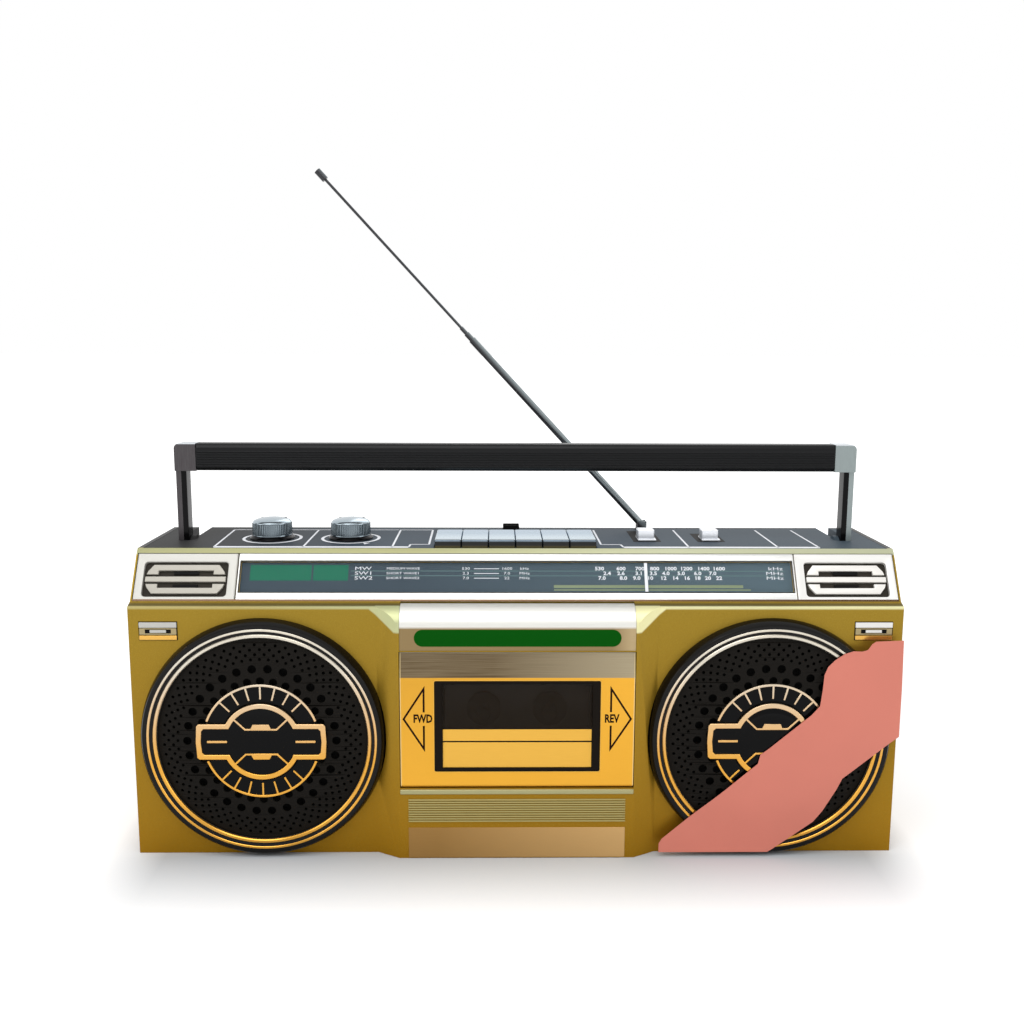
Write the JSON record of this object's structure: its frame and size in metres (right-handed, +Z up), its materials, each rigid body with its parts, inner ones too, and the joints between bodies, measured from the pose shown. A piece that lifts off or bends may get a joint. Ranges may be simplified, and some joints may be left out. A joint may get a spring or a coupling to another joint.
{
  "type": "portable radio cassette recorder",
  "caption": "Wide gold portable stereo radio cassette recorder with round speakers, slanted dial, tilting cassette door, folding handle and telescopic aerial.",
  "frame": {"origin": "on the floor, in the middle of the cabinet width and depth", "axes": "+X to the right seen from the front, +Y to the back, +Z up"},
  "size_m": [0.49, 0.1138, 0.4409],
  "materials": {
    "cabinet_gold": "metallic gold paint, satin",
    "panel_black": "matte",
    "gloss_black": "gloss",
    "bright_trim": "bright",
    "chrome": "polished",
    "dial_lens": "clear",
    "dial_slate": "printed",
    "pointer_white": "satin",
    "door_gold": "brushed, gold",
    "smoked_window": "smoked",
    "plate_bronze": "brushed",
    "emblem_gold": "bright",
    "deck_steel": "plated",
    "inner_black": "matte",
    "reel_white": "satin",
    "brass_wheel": "turned",
    "soft_rubber": "matte",
    "board_green": "lacquered",
    "iron_core": "laminated"
  },
  "bodies": {
    "cabinet": {"front_cabinet": "cabinet_gold", "rear_cabinet": "cabinet_gold", "top_panel": "panel_black", "header_plate": "door_gold", "name_plate": "plate_bronze", "dial_frame": "bright_trim", "dial_lens": "dial_lens", "dial_scale_plate": "dial_slate", "corner_grille_left": "bright_trim", "corner_grille_right": "bright_trim", "speaker_ring_left": "gloss_black", "speaker_ring_right": "gloss_black", "speaker_grille_left": "panel_black", "speaker_grille_right": "panel_black", "speaker_emblem_left": "emblem_gold", "speaker_emblem_right": "emblem_gold", "woofers": "inner_black", "microphones": "bright_trim", "deck_chassis": "deck_steel", "drive_motor": "deck_steel", "drive_belt": "soft_rubber", "key_frame": "deck_steel", "control_bodies": "deck_steel", "tuning_capacitor": "deck_steel", "antenna_clip": "panel_black", "main_circuit_board": "board_green", "power_transformer": "iron_core", "ac_inlet": "gloss_black", "headphone_jack": "gloss_black", "screws": "deck_steel"},
    "pointer": {"dial_pointer": "pointer_white"},
    "tuning": {"tuning_knob": "gloss_black"},
    "door": {"cassette_door": "door_gold", "door_window": "smoked_window", "cassette_holder": "inner_black"},
    "supply_reel": {"supply_reel_table": "reel_white"},
    "takeup_reel": {"takeup_reel_table": "reel_white"},
    "flywheel": {"flywheel": "brass_wheel"},
    "motor_pulley": {"motor_pulley": "brass_wheel"},
    "head": {"head_block": "deck_steel"},
    "pinch": {"pinch_roller": "soft_rubber"},
    "volume": {"volume_knob": "chrome"},
    "tone": {"tone_knob": "chrome"},
    "function_switch": {"function_switch_knob": "chrome"},
    "band_switch": {"band_switch_knob": "chrome"},
    "handle": {"handle_arm_left": "chrome", "handle_arm_right": "chrome", "handle_grip": "panel_black"},
    "aerial_base": {"antenna_base": "chrome"},
    "aerial_1": {"antenna_section_1": "chrome"},
    "aerial_2": {"antenna_section_2": "chrome"},
    "aerial_3": {"antenna_section_3": "chrome"},
    "aerial_4": {"antenna_section_4": "chrome"},
    "battery_lid": {"battery_door": "cabinet_gold"},
    "record_key": {"record_key": "chrome"},
    "play_key": {"play_key": "chrome"},
    "rewind_key": {"rewind_key": "chrome"},
    "fast_forward_key": {"fast_forward_key": "chrome"},
    "stop_eject_key": {"stop_eject_key": "chrome"},
    "pause_key": {"pause_key": "chrome"}
  },
  "joints": [
    {"name": "tuning_turn", "type": "hinge", "parent": "cabinet", "child": "tuning", "pos_m": [0.2425, -0.005, 0.14], "axis": [1, 0, 0], "range_deg": [-140, 148]},
    {"name": "pointer_travel", "type": "slide", "parent": "cabinet", "child": "pointer", "axis": [1, 0, 0], "range_m": [-0.059, 0.0625]},
    {"name": "door_tilt", "type": "hinge", "parent": "cabinet", "child": "door", "pos_m": [0, -0.0541, 0.0495], "axis": [1, 0, 0], "range_deg": [0, 35]},
    {"name": "supply_reel_spin", "type": "hinge", "parent": "cabinet", "child": "supply_reel", "pos_m": [-0.02125, -0.04, 0.0925], "axis": [0, 1, 0], "continuous": true},
    {"name": "takeup_reel_spin", "type": "hinge", "parent": "cabinet", "child": "takeup_reel", "pos_m": [0.02125, -0.04, 0.0925], "axis": [0, 1, 0], "continuous": true},
    {"name": "flywheel_spin", "type": "hinge", "parent": "cabinet", "child": "flywheel", "pos_m": [0.031, -0.028, 0.062], "axis": [0, 1, 0], "continuous": true},
    {"name": "motor_pulley_spin", "type": "hinge", "parent": "cabinet", "child": "motor_pulley", "pos_m": [-0.038, -0.028, 0.06], "axis": [0, 1, 0], "continuous": true},
    {"name": "record_press", "type": "hinge", "parent": "cabinet", "child": "record_key", "pos_m": [-0.04475, 0.024, 0.19], "axis": [1, 0, 0], "range_deg": [0, 6], "stiffness_Nm_per_rad": 0.5, "springref_deg": -4.58},
    {"name": "play_press", "type": "hinge", "parent": "cabinet", "child": "play_key", "pos_m": [-0.02725, 0.024, 0.19], "axis": [1, 0, 0], "range_deg": [0, 6], "stiffness_Nm_per_rad": 0.5, "springref_deg": -4.58},
    {"name": "rewind_press", "type": "hinge", "parent": "cabinet", "child": "rewind_key", "pos_m": [-0.00975, 0.024, 0.19], "axis": [1, 0, 0], "range_deg": [0, 6], "stiffness_Nm_per_rad": 0.5, "springref_deg": -4.58},
    {"name": "fast_forward_press", "type": "hinge", "parent": "cabinet", "child": "fast_forward_key", "pos_m": [0.00775, 0.024, 0.19], "axis": [1, 0, 0], "range_deg": [0, 6], "stiffness_Nm_per_rad": 0.5, "springref_deg": -4.58},
    {"name": "stop_eject_press", "type": "hinge", "parent": "cabinet", "child": "stop_eject_key", "pos_m": [0.02525, 0.024, 0.19], "axis": [1, 0, 0], "range_deg": [0, 6], "stiffness_Nm_per_rad": 0.5, "springref_deg": -4.58},
    {"name": "pause_press", "type": "hinge", "parent": "cabinet", "child": "pause_key", "pos_m": [0.04275, 0.024, 0.19], "axis": [1, 0, 0], "range_deg": [0, 6], "stiffness_Nm_per_rad": 0.5, "springref_deg": -4.58},
    {"name": "head_lift", "type": "slide", "parent": "cabinet", "child": "head", "axis": [0, 0, 1], "range_m": [0, 0.003]},
    {"name": "pinch_roller_spin", "type": "hinge", "parent": "head", "child": "pinch", "pos_m": [0.031, -0.042, 0.05165], "axis": [0, 1, 0], "continuous": true},
    {"name": "volume_turn", "type": "hinge", "parent": "cabinet", "child": "volume", "pos_m": [-0.1639, 0.0128, 0.2], "axis": [0, 0, 1], "range_deg": [-150, 150]},
    {"name": "tone_turn", "type": "hinge", "parent": "cabinet", "child": "tone", "pos_m": [-0.1113, 0.0128, 0.2], "axis": [0, 0, 1], "range_deg": [-150, 150]},
    {"name": "function_slide", "type": "slide", "parent": "cabinet", "child": "function_switch", "axis": [0, 1, 0], "range_m": [0, 0.022]},
    {"name": "band_slide", "type": "slide", "parent": "cabinet", "child": "band_switch", "axis": [0, 1, 0], "range_m": [0, 0.014]},
    {"name": "handle_fold", "type": "hinge", "parent": "cabinet", "child": "handle", "pos_m": [0, 0.012, 0.19], "axis": [-1, 0, 0], "range_deg": [0, 25]},
    {"name": "aerial_swivel", "type": "hinge", "parent": "cabinet", "child": "aerial_base", "pos_m": [0.0894, 0.05, 0.195], "axis": [0, 0, -1], "range_deg": [0, 180]},
    {"name": "aerial_tilt", "type": "hinge", "parent": "aerial_base", "child": "aerial_1", "pos_m": [0.0894, 0.05, 0.1986], "axis": [0, 1, 0], "range_deg": [-47.1, 42.9]},
    {"name": "aerial_slide_2", "type": "slide", "parent": "aerial_1", "child": "aerial_2", "axis": [-0.6807, 0, 0.7325], "range_m": [-0.005, 0.145]},
    {"name": "aerial_slide_3", "type": "slide", "parent": "aerial_2", "child": "aerial_3", "axis": [-0.6807, 0, 0.7325], "range_m": [-0.005, 0.14]},
    {"name": "aerial_slide_4", "type": "slide", "parent": "aerial_3", "child": "aerial_4", "axis": [-0.6807, 0, 0.7325], "range_m": [-0.132, 0]},
    {"name": "battery_lid_hinge", "type": "hinge", "parent": "cabinet", "child": "battery_lid", "pos_m": [0, 0.05475, 0.01025], "axis": [-1, 0, 0], "range_deg": [0, 95]}
  ],
  "couplings": [
    {"joint": "pointer_travel", "follows": "tuning_turn", "m_per_rad": 0.024},
    {"joint": "motor_pulley_spin", "follows": "flywheel_spin", "ratio": 4.8},
    {"joint": "head_lift", "follows": "play_press", "m_per_rad": 0.028646}
  ]
}
